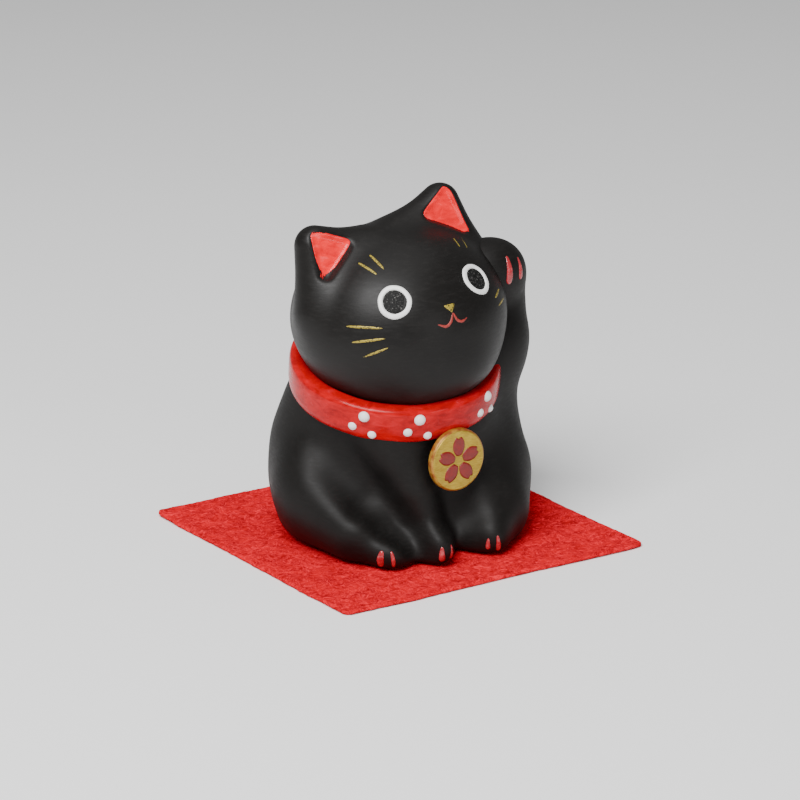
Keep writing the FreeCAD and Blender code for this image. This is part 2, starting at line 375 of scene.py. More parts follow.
def frame_at(skin, near, up):
    """The point of the skin next to near, with its outward normal and the two directions across it."""
    centre = settle(skin, np.array([near], float), rounds=8)[0]
    outward = normals_of(skin, centre[None])[0]
    across = unit(np.cross(np.asarray(up, float), outward))
    return centre, outward, across, np.cross(outward, across)


def dropped(skin, points, outward, start=5.0):
    """Where points, let down against outward, meet the skin."""
    height = np.full(len(points), start)
    for _ in range(60):
        height -= 0.8 * skin(points + height[:, None] * outward)
    return points + height[:, None] * outward


def grid_faces(rows, columns, offset, closed, flip=False):
    """Quads of a grid of vertices. closed joins the last column to the first."""
    faces = []
    for row in range(rows - 1):
        for column in range(columns if closed else columns - 1):
            beside = (column + 1) % columns
            face = [offset + row * columns + column, offset + row * columns + beside,
                    offset + (row + 1) * columns + beside, offset + (row + 1) * columns + column]
            faces.append(face[::-1] if flip else face)
    return faces


def rim_faces(rows, columns, top, bottom):
    """Quads that join the edges of two grids of vertices, all the way round."""
    rim = list(range(columns)) + [row * columns + columns - 1 for row in range(1, rows)]
    rim += [(rows - 1) * columns + column for column in range(columns - 2, -1, -1)]
    rim += [row * columns for row in range(rows - 2, 0, -1)]
    return [[top + first, top + second, bottom + second, bottom + first]
            for first, second in zip(rim, rim[1:] + rim[:1])]


def bump(share):
    """1 over the middle of a stroke and 0 at its two sides, where share is 0 and 1."""
    return 1.0 - np.abs(2.0 * share - 1.0) ** 4.0


def ring_patch(name, skin, near, up, outline, thickness, hole=0.0, rings=10):
    """A patch of paint. outline gives its radius for an array of angles, and hole is the share of
    that radius which its middle leaves open."""
    centre, outward, across, upward = frame_at(skin, near, up)
    segments = 72
    angles = np.linspace(0.0, 2.0 * math.pi, segments, endpoint=False)
    radii = outline(angles)
    first = hole if hole else 0.02
    layers = []
    for level, depth in ((1.0, 0.0), (0.0, ROOT_DEPTH)):
        for share in np.linspace(first, 1.0, rings):
            u, v = share * radii * np.cos(angles), share * radii * np.sin(angles)
            flat = centre + u[:, None] * across + v[:, None] * upward
            ground = dropped(skin, flat, outward)
            span = (share - first) / (1.0 - first)
            crown = bump(span) if hole else 1.0 - span ** 6
            rise = level * (thickness * crown + 0.02) - depth - 0.02
            layers.append(ground + rise * normals_of(skin, ground))
    vertices = np.concatenate(layers)
    faces = grid_faces(rings, segments, 0, True)
    faces += grid_faces(rings, segments, rings * segments, True, flip=True)
    bottom = rings * segments
    for row, flip in ((0, True), (rings - 1, False)):
        if row == 0 and not hole:
            faces.append(list(range(segments))[::-1])
            faces.append([bottom + column for column in range(segments)])
            continue
        for column in range(segments):
            beside = (column + 1) % segments
            face = [row * segments + column, row * segments + beside,
                    bottom + row * segments + beside, bottom + row * segments + column]
            faces.append(face[::-1] if not flip else face)
    return make_object(name, set_on_mat(vertices), faces)


def smooth_route(points, steps):
    """A curve through the points, evenly divided."""
    points = np.array(points, float)
    if len(points) == 2:
        return points[0] + np.linspace(0.0, 1.0, steps)[:, None] * (points[1] - points[0])
    padded = np.concatenate([[2 * points[0] - points[1]], points, [2 * points[-1] - points[-2]]])
    curve = []
    for share in np.linspace(0.0, len(points) - 1.0, steps):
        index = min(int(share), len(points) - 2)
        t = share - index
        a, b, c, d = padded[index:index + 4]
        curve.append(0.5 * (2 * b + (c - a) * t + (2 * a - 5 * b + 4 * c - d) * t ** 2
                            + (3 * b - a - 3 * c + d) * t ** 3))
    return np.array(curve)


def stroke(name, skin, route, width, thickness, steps=40, roughness=0.06):
    """A brush stroke over the skin along a route of nearby points. width gives its half width for
    an array of shares of its length."""
    line = settle(skin, smooth_route(route, steps), rounds=6)
    outward = normals_of(skin, line)
    along = np.gradient(line, axis=0)
    across = np.cross(along, outward)
    across /= np.linalg.norm(across, axis=-1, keepdims=True)
    shares = np.linspace(0.0, 1.0, steps)
    half = width(shares)
    ragged = RNG.normal(0.0, roughness, (steps, 2)) * half[:, None]
    columns = 9
    layers = []
    for level, depth in ((1.0, 0.0), (0.0, ROOT_DEPTH)):
        for column in np.linspace(-1.0, 1.0, columns):
            side = ragged[:, 1] if column > 0.0 else ragged[:, 0]
            ground = settle(skin, line + ((half + side) * column)[:, None] * across, rounds=4)
            crown = (1.0 - abs(column) ** 3) * np.clip(half / half.max(), 0.0, 1.0)
            rise = level * (thickness * crown + 0.015) - depth - 0.015
            layers.append(ground + np.atleast_1d(rise)[:, None] * normals_of(skin, ground))
    vertices = np.concatenate(layers)
    count = columns * steps
    faces = grid_faces(columns, steps, 0, False)
    faces += grid_faces(columns, steps, count, False, flip=True)
    faces += rim_faces(columns, steps, count, 0)
    return make_object(name, set_on_mat(vertices), faces)


# ---------------------------------------------------------------------------------------------
# Places on the head, in its own frame: left is +X and the nose points to -Y

EYES = {"right_eye": (-10.7, -15.8, 14.7), "left_eye": (12.1, -16.4, 13.4)}
EYE_RADIUS = 4.15
PUPIL_SHARE = 0.69
NOSE_CORNERS = ((-0.4, -21.0, 12.6), (2.9, -20.9, 12.2), (1.2, -22.1, 10.5))
MOUTH = {
    "mouth_right": ((1.4, -22.2, 10.6), (0.3, -23.2, 9.1), (-1.3, -23.5, 8.4), (-3.3, -22.9, 9.3)),
    "mouth_left": ((1.5, -22.2, 10.6), (2.0, -23.2, 9.0), (3.3, -23.4, 8.2), (5.2, -22.9, 8.6)),
}
WHISKERS = {
    "whisker_right_top": ((-21.4, -10.8, 9.2), (-15.3, -17.5, 9.8)),
    "whisker_right_middle": ((-21.6, -13.3, 6.0), (-15.5, -18.8, 7.7)),
    "whisker_right_low": ((-21.1, -15.5, 2.4), (-15.4, -19.8, 5.6)),
    "whisker_left_top": ((19.2, -15.4, 7.6), (16.2, -18.2, 7.5)),
    "whisker_left_middle": ((20.6, -15.3, 4.7), (16.6, -19.1, 5.5)),
    "whisker_left_low": ((19.6, -17.2, 1.8), (16.9, -19.5, 3.1)),
}
BROWS = {
    "brow_right_outer": ((-12.1, -2.2, 19.3), (-10.8, -8.2, 18.6)),
    "brow_right_inner": ((-8.9, -2.2, 20.4), (-8.7, -8.2, 19.3)),
    "brow_left_inner": ((13.9, 0.2, 19.0), (13.2, -7.8, 17.7)),
    "brow_left_outer": ((17.2, -1.2, 17.3), (15.3, -7.8, 16.5)),
}

# Claws, in the cat's own frame: top and bottom of each, and half its width

CLAWS = {
    "right_hind_claw_outer": ((-17.1, -28.8, 5.2), (-16.7, -27.6, 2.2), 0.92),
    "right_hind_claw_inner": ((-15.5, -30.0, 5.2), (-14.7, -29.2, 2.2), 0.52),
    "right_front_claw_outer": ((-3.5, -33.4, 5.7), (-3.3, -33.0, 1.7), 0.85),
    "right_front_claw_inner": ((-0.5, -33.2, 5.9), (0.0, -32.8, 1.6), 0.8),
    "left_hind_claw_inner": ((10.1, -31.0, 5.0), (10.4, -30.2, 2.1), 0.62),
    "left_hind_claw_outer": ((12.3, -31.0, 5.5), (12.8, -30.3, 2.0), 0.68),
    "raised_claw_inner": ((24.1, -11.0, 69.3), (24.2, -12.6, 62.6), 0.95),
    "raised_claw_outer": ((27.6, -9.7, 68.3), (28.0, -11.0, 63.0), 0.75),
}

COLLAR_CENTRE = (-1.3, -1.6, 40.8)
COLLAR_AXIS = unit((-0.062, -0.266, 1.0))
COLLAR_RADIUS = 26.0
COLLAR_HALF_WIDTH = 4.5
COLLAR_BURIED = 5.0
DOT_GROUP_ANGLES = (-49.0, -19.0, 27.0)
DOT_OFFSETS = ((-0.2, 2.2, 1.4), (-3.0, -1.1, 1.2), (2.0, -2.4, 1.15))

MEDALLION_CENTRE = (3.5, -26.4, 24.8)
MEDALLION_TURN = math.radians(10.0)
MEDALLION_RADIUS = 7.8
MEDALLION_THICKNESS = 2.0


# ---------------------------------------------------------------------------------------------
# Materials

def new_material(name):
    material = bpy.data.materials.new(name)
    material.use_nodes = True
    nodes = material.node_tree.nodes
    return material, material.node_tree, nodes["Principled BSDF"]


def node(tree, kind, inputs=None, **settings):
    """Adds a node. inputs gives values or output sockets by input name or number."""
    made = tree.nodes.new(kind)
    for key, value in settings.items():
        setattr(made, key, value)
    for key, value in (inputs or {}).items():
        if isinstance(value, bpy.types.NodeSocket):
            tree.links.new(value, made.inputs[key])
        else:
            made.inputs[key].default_value = value
    return made


def object_place(tree):
    return tree.nodes.new("ShaderNodeTexCoord").outputs["Object"]


def noise(tree, scale, detail=3.0, roughness=0.55, distortion=0.0, stretch=None, vector=None):
    vector = vector or object_place(tree)
    if stretch is not None:
        mapping = {"Vector": vector, "Scale": stretch[0], "Rotation": stretch[1]}
        vector = node(tree, "ShaderNodeMapping", mapping).outputs[0]
    values = {"Vector": vector, "Scale": scale, "Detail": detail,
              "Roughness": roughness, "Distortion": distortion}
    return node(tree, "ShaderNodeTexNoise", values).outputs[0]


def ramp(tree, value, stops):
    """A colour ramp. stops are (position, colour or grey) pairs."""
    made = node(tree, "ShaderNodeValToRGB", {0: value})
    while len(made.color_ramp.elements) < len(stops):
        made.color_ramp.elements.new(0.5)
    for element, (position, colour) in zip(made.color_ramp.elements, stops):
        element.position = position
        element.color = (*colour, 1.0) if hasattr(colour, "__len__") else (colour, colour, colour, 1.0)
    return made.outputs[0]


def mix(tree, share, first, second):
    return node(tree, "ShaderNodeMix", {0: share, 6: first, 7: second}, data_type="RGBA").outputs[2]


def add_bump(tree, shader, height, strength, distance, normal=None):
    values = {"Height": height, "Strength": strength, "Distance": distance}
    if normal is not None:
        values["Normal"] = normal
    made = node(tree, "ShaderNodeBump", values)
    tree.links.new(made.outputs[0], shader.inputs["Normal"])
    return made.outputs[0]


def black_paint(name, smoothest, roughest, shine):
    """Matte charcoal paint over earthenware, with faint brush streaks and a dry grain."""
    material, tree, shader = new_material(name)
    grain = noise(tree, 2600.0, 4.0, 0.65)
    streaks = noise(tree, 420.0, 5.0, 0.6, 0.4, stretch=((1.0, 1.0, 5.0), (0.5, 0.35, 0.2)))
    clouds = noise(tree, 55.0, 3.0)
    tone = ramp(tree, clouds, ((0.3, (0.0044, 0.0038, 0.0034)), (0.7, (0.0064, 0.0056, 0.005))))
    worn = mix(tree, ramp(tree, streaks, ((0.5, 0.0), (0.85, 0.5))), tone, (0.017, 0.0155, 0.0145, 1.0))
    tree.links.new(worn, shader.inputs["Base Color"])
    rough = ramp(tree, streaks, ((0.25, smoothest), (0.75, roughest)))
    tree.links.new(rough, shader.inputs["Roughness"])
    first = add_bump(tree, shader, streaks, 0.3, 0.00008)
    add_bump(tree, shader, grain, 0.25, 0.00005, first)
    shader.inputs["Specular IOR Level"].default_value = shine
    return material


def black_ceramic():
    """The body's paint, left dry."""
    return black_paint("black_ceramic", 0.48, 0.62, 0.19)


def rubbed_ceramic():
    """The head's paint, rubbed to a satin sheen."""
    return black_paint("rubbed_ceramic", 0.38, 0.50, 0.24)


def red_enamel():
    """Glossy red, brushed on in uneven coats that let paler pink through."""
    material, tree, shader = new_material("red_enamel")
    brushed = noise(tree, 260.0, 4.0, 0.6, 0.6, stretch=((1.0, 1.0, 2.6), (0.25, 0.0, 0.0)))
    fine = noise(tree, 900.0, 3.0)
    colour = ramp(tree, brushed, (
        (0.30, (0.28, 0.0, 0.002)), (0.54, (0.47, 0.0, 0.004)),
        (0.68, (0.54, 0.005, 0.012)), (0.82, (0.68, 0.08, 0.09))))
    tree.links.new(colour, shader.inputs["Base Color"])
    tree.links.new(ramp(tree, fine, ((0.3, 0.16), (0.7, 0.30))), shader.inputs["Roughness"])
    shader.inputs["Specular IOR Level"].default_value = 0.1
    shader.inputs["Coat Weight"].default_value = 0.14
    shader.inputs["Coat Roughness"].default_value = 0.12
    add_bump(tree, shader, brushed, 0.35, 0.0002)
    return material


def ear_enamel():
    """Bright red lacquer; its palest tone, laid on at random by noise, is a painted reflection."""
    material, tree, shader = new_material("ear_enamel")
    brushed = noise(tree, 330.0, 3.0, 0.55, 0.5, stretch=((1.0, 1.0, 2.2), (0.3, 0.2, 0.0)))
    colour = ramp(tree, brushed, (
        (0.30, (0.66, 0.003, 0.008)), (0.58, (0.95, 0.008, 0.014)), (0.80, (1.0, 0.07, 0.075))))
    tree.links.new(colour, shader.inputs["Base Color"])
    tree.links.new(ramp(tree, brushed, ((0.3, 0.16), (0.7, 0.28))), shader.inputs["Roughness"])
    shader.inputs["Specular IOR Level"].default_value = 0.15
    shader.inputs["Coat Weight"].default_value = 0.22
    shader.inputs["Coat Roughness"].default_value = 0.06
    add_bump(tree, shader, brushed, 0.3, 0.0002)
    return material


def claw_red():
    material, tree, shader = new_material("claw_red")
    blotches_and_glints = noise(tree, 700.0, 3.0, 0.5, 0.3)
    # Dark and mid reds are blotchy paint; the palest pink stop is a painted highlight, laid on by noise.
    colour = ramp(tree, blotches_and_glints, (
        (0.3, (0.28, 0.008, 0.013)), (0.6, (0.44, 0.025, 0.034)), (0.8, (0.62, 0.15, 0.155))))
    tree.links.new(colour, shader.inputs["Base Color"])
    tree.links.new(ramp(tree, blotches_and_glints, ((0.3, 0.18), (0.7, 0.32))), shader.inputs["Roughness"])
    shader.inputs["Coat Weight"].default_value = 0.4
    add_bump(tree, shader, blotches_and_glints, 0.3, 0.00015)
    return material


def white_enamel():
    material, tree, shader = new_material("white_enamel")
    clouds = noise(tree, 500.0, 3.0)
    colour = ramp(tree, clouds, ((0.3, (0.80, 0.79, 0.77)), (0.7, (0.9, 0.895, 0.88))))
    tree.links.new(colour, shader.inputs["Base Color"])
    tree.links.new(ramp(tree, clouds, ((0.3, 0.22), (0.7, 0.36))), shader.inputs["Roughness"])
    add_bump(tree, shader, clouds, 0.25, 0.0001)
    return material


def speckled_pupil():
    """Black paint with fine grey speckle."""
    material, tree, shader = new_material("speckled_pupil")
    specks = noise(tree, 2600.0, 2.0, 0.8)
    colour = ramp(tree, specks, (
        (0.48, (0.004, 0.004, 0.004)), (0.60, (0.02, 0.019, 0.018)), (0.70, (0.16, 0.155, 0.15))))
    tree.links.new(colour, shader.inputs["Base Color"])
    tree.links.new(ramp(tree, specks, ((0.35, 0.55), (0.7, 0.75))), shader.inputs["Roughness"])
    shader.inputs["Specular IOR Level"].default_value = 0.15
    add_bump(tree, shader, specks, 0.4, 0.0001)
    return material


def pale_gold_stroke():
    """Dry strokes of pale gold, broken where the brush skipped."""
    material, tree, shader = new_material("pale_gold_stroke")
    skips = noise(tree, 2300.0, 3.0, 0.6)
    cover = ramp(tree, skips, ((0.40, 0.0), (0.48, 1.0)))
    colour = mix(tree, cover, (0.03, 0.024, 0.008, 1.0), (0.36, 0.27, 0.032, 1.0))
    tree.links.new(colour, shader.inputs["Base Color"])
    tree.links.new(ramp(tree, skips, ((0.3, 0.5), (0.7, 0.32))), shader.inputs["Roughness"])
    shader.inputs["Metallic"].default_value = 0.25
    add_bump(tree, shader, skips, 0.4, 0.00008)
    return material


def mouth_red():
    material, tree, shader = new_material("mouth_red")
    skips = noise(tree, 1900.0, 3.0, 0.6)
    colour = ramp(tree, skips, ((0.35, (0.17, 0.014, 0.012)), (0.6, (0.36, 0.035, 0.026))))
    tree.links.new(colour, shader.inputs["Base Color"])
    tree.links.new(ramp(tree, skips, ((0.3, 0.28), (0.7, 0.45))), shader.inputs["Roughness"])
    add_bump(tree, shader, skips, 0.3, 0.00008)
    return material


def gold_paint():
    """Soft gold with fine brush lines and paler worn patches."""
    material, tree, shader = new_material("gold_paint")
    lines = noise(tree, 800.0, 4.0, 0.6, 0.2, stretch=((1.0, 1.0, 6.0), (0.0, 0.6, 0.0)))
    patches = noise(tree, 210.0, 3.0)
    tone = ramp(tree, patches, (
        (0.3, (0.27, 0.155, 0.008)), (0.55, (0.40, 0.26, 0.016)), (0.75, (0.54, 0.39, 0.05))))
    brushed = mix(tree, ramp(tree, lines, ((0.4, 0.0), (0.75, 0.55))), tone, (0.68, 0.52, 0.09, 1.0))
    tree.links.new(brushed, shader.inputs["Base Color"])
    tree.links.new(ramp(tree, lines, ((0.3, 0.30), (0.7, 0.46))), shader.inputs["Roughness"])
    shader.inputs["Metallic"].default_value = 0.55
    add_bump(tree, shader, lines, 0.4, 0.0001)
    return material


def motif_red():
    material, tree, shader = new_material("motif_red")
    clouds = noise(tree, 900.0, 3.0)
    colour = ramp(tree, clouds, ((0.3, (0.15, 0.004, 0.002)), (0.7, (0.23, 0.009, 0.005))))
    tree.links.new(colour, shader.inputs["Base Color"])
    tree.links.new(ramp(tree, clouds, ((0.3, 0.3), (0.7, 0.45))), shader.inputs["Roughness"])
    add_bump(tree, shader, clouds, 0.3, 0.0001)
    return material


def rim_orange():
    """The medallion's edge: thin gold over a red ground."""
    material, tree, shader = new_material("rim_orange")
    worn = noise(tree, 600.0, 3.0)
    colour = ramp(tree, worn, ((0.35, (0.26, 0.07, 0.012)), (0.65, (0.42, 0.23, 0.028))))
    tree.links.new(colour, shader.inputs["Base Color"])
    tree.links.new(ramp(tree, worn, ((0.3, 0.32), (0.7, 0.48))), shader.inputs["Roughness"])
    shader.inputs["Metallic"].default_value = 0.3
    add_bump(tree, shader, worn, 0.3, 0.0001)
    return material


def red_felt():
    """Pressed red fibres: a tangle of light and dark threads over a mottled red."""
    material, tree, shader = new_material("red_felt")
    place = object_place(tree)
    bend = node(tree, "ShaderNodeTexNoise", {"Vector": place, "Scale": 160.0, "Detail": 2.0}).outputs[1]
    warped = mix(tree, 0.012, place, bend)
    threads = [
        noise(tree, 1500.0, 3.0, 0.65, 0.7, ((1.0, 0.14, 1.0), (0.0, 0.0, 0.5)), warped),
        noise(tree, 1500.0, 3.0, 0.65, 0.7, ((0.14, 1.0, 1.0), (0.0, 0.0, 0.9)), warped),
    ]
    tangle = node(tree, "ShaderNodeMath", {0: threads[0], 1: threads[1]}, operation="MAXIMUM").outputs[0]
    mottle = noise(tree, 420.0, 5.0, 0.7)
    base = ramp(tree, mottle, ((0.34, (0.27, 0.0, 0.003)), (0.64, (0.64, 0.002, 0.010))))
    fibre = mix(tree, ramp(tree, tangle, ((0.50, 0.0), (0.66, 0.95))), base, (0.93, 0.012, 0.031, 1.0))
    tree.links.new(fibre, shader.inputs["Base Color"])
    shader.inputs["Roughness"].default_value = 0.9
    shader.inputs["Sheen Weight"].default_value = 0.05
    shader.inputs["Sheen Roughness"].default_value = 0.5
    shader.inputs["Sheen Tint"].default_value = (1.0, 0.10, 0.12, 1.0)
    shader.inputs["Specular IOR Level"].default_value = 0.05
    first = add_bump(tree, shader, tangle, 0.9, 0.0004)
    add_bump(tree, shader, mottle, 0.7, 0.0005, first)
    return material


MATERIALS = {}


def finish(piece, make_material, body):
    """Gives a piece its material and sets it on its body."""
    if make_material.__name__ not in MATERIALS:
        MATERIALS[make_material.__name__] = make_material()
    piece.data.materials.clear()
    piece.data.materials.append(MATERIALS[make_material.__name__])
    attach(piece, body)
    return piece


# ---------------------------------------------------------------------------------------------
# The cat

BODY = body_skin()
HEAD = head_skin()

cat_body = surface_piece("cat_body", BODY, (-36.0, -38.0, -1.0), (40.0, 40.0, 76.0))
cat_head = surface_piece("cat_head", HEAD, (-34.0, -34.0, 30.0), (32.0, 28.0, 92.0))
finish(cat_body, black_ceramic, "figurine")
finish(cat_head, rubbed_ceramic, "figurine")
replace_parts(cat_body, "torso", "raised_arm", "tail")
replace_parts(cat_head, "head")


# ---------------------------------------------------------------------------------------------
# Painted face

def eye_outline(radius, seed):
    """A brushed circle: nearly round, a little uneven."""
    phases = np.random.default_rng(seed).uniform(0.0, 2.0 * math.pi, 3)

    def outline(angles):
        uneven = 0.018 * np.sin(2.0 * angles + phases[0]) + 0.012 * np.sin(3.0 * angles + phases[1])
        return radius * (1.0 + uneven + 0.006 * np.sin(7.0 * angles + phases[2]))
    return outline


def triangle_outline(corners, centre, across, upward, softness):
    """Radius of a rounded triangle about its centre, for an array of angles."""
    flat = np.array([((corner - centre) @ across, (corner - centre) @ upward) for corner in corners])

    def outline(angles):
        ways = np.stack([np.cos(angles), np.sin(angles)], -1)
        inverse = np.zeros(len(angles))
        for first, second in zip(flat, np.roll(flat, -1, axis=0)):
            side = second - first
            outward = np.array([side[1], -side[0]])
            outward = unit(outward if outward @ first > 0.0 else -outward)
            inverse += np.maximum(ways @ outward / (outward @ first), 0.0) ** softness
        return inverse ** (-1.0 / softness)
    return outline


HEAD_UP = HEAD_TURN[:, 2]

for seed, (name, place) in enumerate(EYES.items()):
    ring = eye_outline(EYE_RADIUS, seed)
    pupil = eye_outline(EYE_RADIUS * (PUPIL_SHARE + 0.05), seed + 7)
    white = ring_patch(f"{name}_ring", HEAD, from_head(place), HEAD_UP, ring, 0.32, hole=PUPIL_SHARE)
    dark = ring_patch(f"{name}_pupil", HEAD, from_head(place), HEAD_UP, pupil, 0.1)
    finish(white, white_enamel, "figurine")
    finish(dark, speckled_pupil, "figurine")


def tapered(half_width, start=0.55, end=0.5):
    """Half width of a brush stroke: full in its middle, rounded off at its ends."""
    def width(shares):
        ends = np.minimum(shares / 0.12, (1.0 - shares) / 0.12)
        rounded = np.sqrt(np.clip(1.0 - (1.0 - np.clip(ends, 0.0, 1.0)) ** 2, 0.004, 1.0))
        lean = start + (1.0 - start) * np.clip(shares * 3.0, 0.0, 1.0)
        lean *= end + (1.0 - end) * np.clip((1.0 - shares) * 3.0, 0.0, 1.0)
        return half_width * rounded * lean
    return width


nose_centre, _, nose_across, nose_up = frame_at(HEAD, from_head(np.mean(NOSE_CORNERS, 0)), HEAD_UP)
nose = ring_patch("nose", HEAD, nose_centre, HEAD_UP,
                  triangle_outline(from_head(NOSE_CORNERS), nose_centre, nose_across, nose_up, 5.0), 0.16)
finish(nose, pale_gold_stroke, "figurine")
for name, route in MOUTH.items():
    finish(stroke(name, HEAD, from_head(route), tapered(0.34), 0.1), mouth_red, "figurine")
for name, route in WHISKERS.items():
    whisker = stroke(name, HEAD, from_head(route), tapered(0.30), 0.07)
    finish(whisker, pale_gold_stroke, "figurine")
for name, route in BROWS.items():
    brow = stroke(name, HEAD, from_head(route), tapered(0.31, 0.8, 0.7), 0.07)
    finish(brow, pale_gold_stroke, "figurine")

for name, side in (("right_ear_lining", -1), ("left_ear_lining", 1)):
    corners, middle, facing = lining_frame(side)
    middle = from_head(middle)
    centre, _, across, upward = frame_at(HEAD, middle, HEAD_UP)
    outline = triangle_outline(from_head(corners), centre, across, upward, 4.6)
    lining = ring_patch(name, HEAD, middle, HEAD_UP, outline, 0.12, rings=16)
    finish(lining, ear_enamel, "figurine")


def claw_width(half_width):
    """Narrow at the top and broad and round at the bottom."""
    def width(shares):
        drop = 0.35 + 0.65 * np.clip(shares / 0.6, 0.0, 1.0) ** 0.8
        ends = np.minimum(shares / 0.1, (1.0 - shares) / 0.22)
        return half_width * drop * np.sqrt(np.clip(1.0 - (1.0 - np.clip(ends, 0.0, 1.0)) ** 2, 0.004, 1.0))
    return width


for name, (top, bottom, half_width) in CLAWS.items():
    claw = stroke(name, BODY, (top, bottom), claw_width(half_width), 0.3, roughness=0.03)
    finish(claw, claw_red, "figurine")


# ---------------------------------------------------------------------------------------------
# Collar, its dots, and the medallion

def basis(axis, front):
    """Two directions square to axis, the first as near as can be to front."""
    front = np.array(front, float)
    first = unit(front - (front @ axis) * axis)
    return first, np.cross(axis, first)


COLLAR_FRONT, COLLAR_LEFT = basis(COLLAR_AXIS, (3.5, -26.4, 0.0))


def collar_point(angle, height, radius):
    """angle runs from the front towards the cat's left, in radians."""
    outward = np.cos(angle)[..., None] * COLLAR_FRONT + np.sin(angle)[..., None] * COLLAR_LEFT
    return COLLAR_CENTRE + radius[..., None] * outward + height[..., None] * COLLAR_AXIS


def collar_profile(steps):
    """Heights and radii round the collar's section: a crowned face between rounded edges."""
    turn_angles = np.linspace(0.0, 2.0 * math.pi, steps, endpoint=False)
    cosine, sine = np.cos(turn_angles), np.sin(turn_angles)
    power = 0.5
    height = COLLAR_HALF_WIDTH * np.sign(sine) * np.abs(sine) ** power
    depth = COLLAR_BURIED / 2.0
    radius = COLLAR_RADIUS - depth + depth * np.sign(cosine) * np.abs(cosine) ** power
    return height, radius


def collar():
    around, section = 240, 56
    height, radius = collar_profile(section)
    angles = np.linspace(0.0, 2.0 * math.pi, around, endpoint=False)[:, None] * np.ones(section)
    wave = 0.12 * np.sin(5.0 * angles + 0.6) + 0.08 * np.sin(11.0 * angles + 2.0)
    vertices = collar_point(angles, height + wave, radius + 0.5 * wave)
    faces = grid_faces(around, section, 0, True)
    last = (around - 1) * section
    for column in range(section):
        beside = (column + 1) % section
        faces.append([last + column, last + beside, beside, column])
    return make_object("collar_band", set_on_mat(vertices.reshape(-1, 3)), faces)


def dots():
    """Raised drops of enamel on the collar, three to a group."""
    rows, columns = 9, 24
    vertices, faces = [], []
    for group in DOT_GROUP_ANGLES:
        for sideways, rise, radius in DOT_OFFSETS:
            angle = math.radians(group) + sideways / COLLAR_RADIUS
            outward = math.cos(angle) * COLLAR_FRONT + math.sin(angle) * COLLAR_LEFT
            along = -math.sin(angle) * COLLAR_FRONT + math.cos(angle) * COLLAR_LEFT
            centre = COLLAR_CENTRE + (COLLAR_RADIUS - 0.25) * outward + rise * COLLAR_AXIS
            radius *= RNG.uniform(0.93, 1.07)
            lift = 0.8 * radius
            polar = np.linspace(0.03, 0.62 * math.pi, rows)[:, None]
            spin = np.linspace(0.0, 2.0 * math.pi, columns, endpoint=False)[None, :]
            dome = centre + radius * (np.sin(polar) * np.cos(spin))[..., None] * along
            dome = dome + radius * (np.sin(polar) * np.sin(spin))[..., None] * COLLAR_AXIS
            dome = dome + lift * (np.cos(polar) * np.ones_like(spin))[..., None] * outward
            start = sum(len(part) for part in vertices)
            vertices.append(dome.reshape(-1, 3))
            faces += grid_faces(rows, columns, start, True)
            faces.append([start + column for column in range(columns)][::-1])
            faces.append([start + (rows - 1) * columns + column for column in range(columns)])
    return make_object("enamel_dots", set_on_mat(np.concatenate(vertices)), faces)


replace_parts(finish(collar(), red_enamel, "figurine"), "collar")
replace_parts(finish(dots(), white_enamel, "figurine"), "collar_dots")


def medallion_point(u, v, out):
    """u runs to the cat's left, v up, and out away from its chest."""
    return np.array(MEDALLION_CENTRE) + np.stack([u, -out, v], -1) @ turn(MEDALLION_TURN, "Z").T


def disc(name, radius, front, back, edge, make_material):
    """A round of metal or paint with rounded edges, standing upright."""
    columns = 96
    spin = np.linspace(0.0, 2.0 * math.pi, columns, endpoint=False)
    bend = np.linspace(0.0, 0.5 * math.pi, 6)
    profile = [(share * (radius - edge), front) for share in np.linspace(0.02, 0.98, 24)]
    profile += [(radius - edge + edge * math.sin(a), front - edge + edge * math.cos(a)) for a in bend]
    profile += [(radius - edge + edge * math.cos(a), back + edge - edge * math.sin(a)) for a in bend]
    profile.append((0.1, back))
    rows = [medallion_point(r * np.cos(spin), r * np.sin(spin), np.full(columns, out)) for r, out in profile]
    faces = grid_faces(len(rows), columns, 0, True)
    faces.append([column for column in range(columns)][::-1])
    faces.append([(len(rows) - 1) * columns + column for column in range(columns)])
    piece = make_object(name, set_on_mat(np.concatenate(rows)), faces)
    return finish(piece, make_material, "figurine")


HALF_THICK = MEDALLION_THICKNESS / 2.0
disc("medallion_rim", MEDALLION_RADIUS, HALF_THICK, -HALF_THICK, 0.6, rim_orange)
face = disc("medallion_face", MEDALLION_RADIUS - 0.35, HALF_THICK + 0.12, HALF_THICK - 0.6, 0.3,
            gold_paint)
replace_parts(face, "medallion")


def petal(turned):
    """A petal with a notched tip, as a closed thin piece on the medallion's face."""
    rows, columns = 12, 9
    top, bottom = [], []
    for share in np.linspace(0.0, 1.0, rows):
        reach = 1.3 + 4.6 * share
        half = 1.75 * math.sin(math.pi * (0.10 + 0.78 * share)) ** 0.75
        across = np.linspace(-1.0, 1.0, columns)
        notch = 0.45 * share ** 6 * (1.0 - np.abs(across)) ** 1.5
        u, v = half * across, reach - notch
        a = math.radians(turned)
        x, y = u * math.cos(a) - v * math.sin(a), u * math.sin(a) + v * math.cos(a)
        top.append(medallion_point(x, y, HALF_THICK + 0.16 + 0.16 * (1.0 - across ** 4)))
        bottom.append(medallion_point(x, y, np.full(columns, HALF_THICK - 0.1)))
    return rows, columns, np.concatenate(top), np.concatenate(bottom)


def blossom():
    """Five petals and a round heart."""
    vertices, faces = [], []
    for turned in range(0, 360, 72):
        rows, columns, top, bottom = petal(turned)
        start = sum(len(part) for part in vertices)
        count = len(top)
        vertices += [top, bottom]
        faces += grid_faces(rows, columns, start, False, flip=True)
        faces += grid_faces(rows, columns, start + count, False)
        faces += rim_faces(rows, columns, start + count, start)
    return make_object("medallion_blossom", set_on_mat(np.concatenate(vertices)), faces)


finish(blossom(), motif_red, "figurine")


# ---------------------------------------------------------------------------------------------
# Felt mat

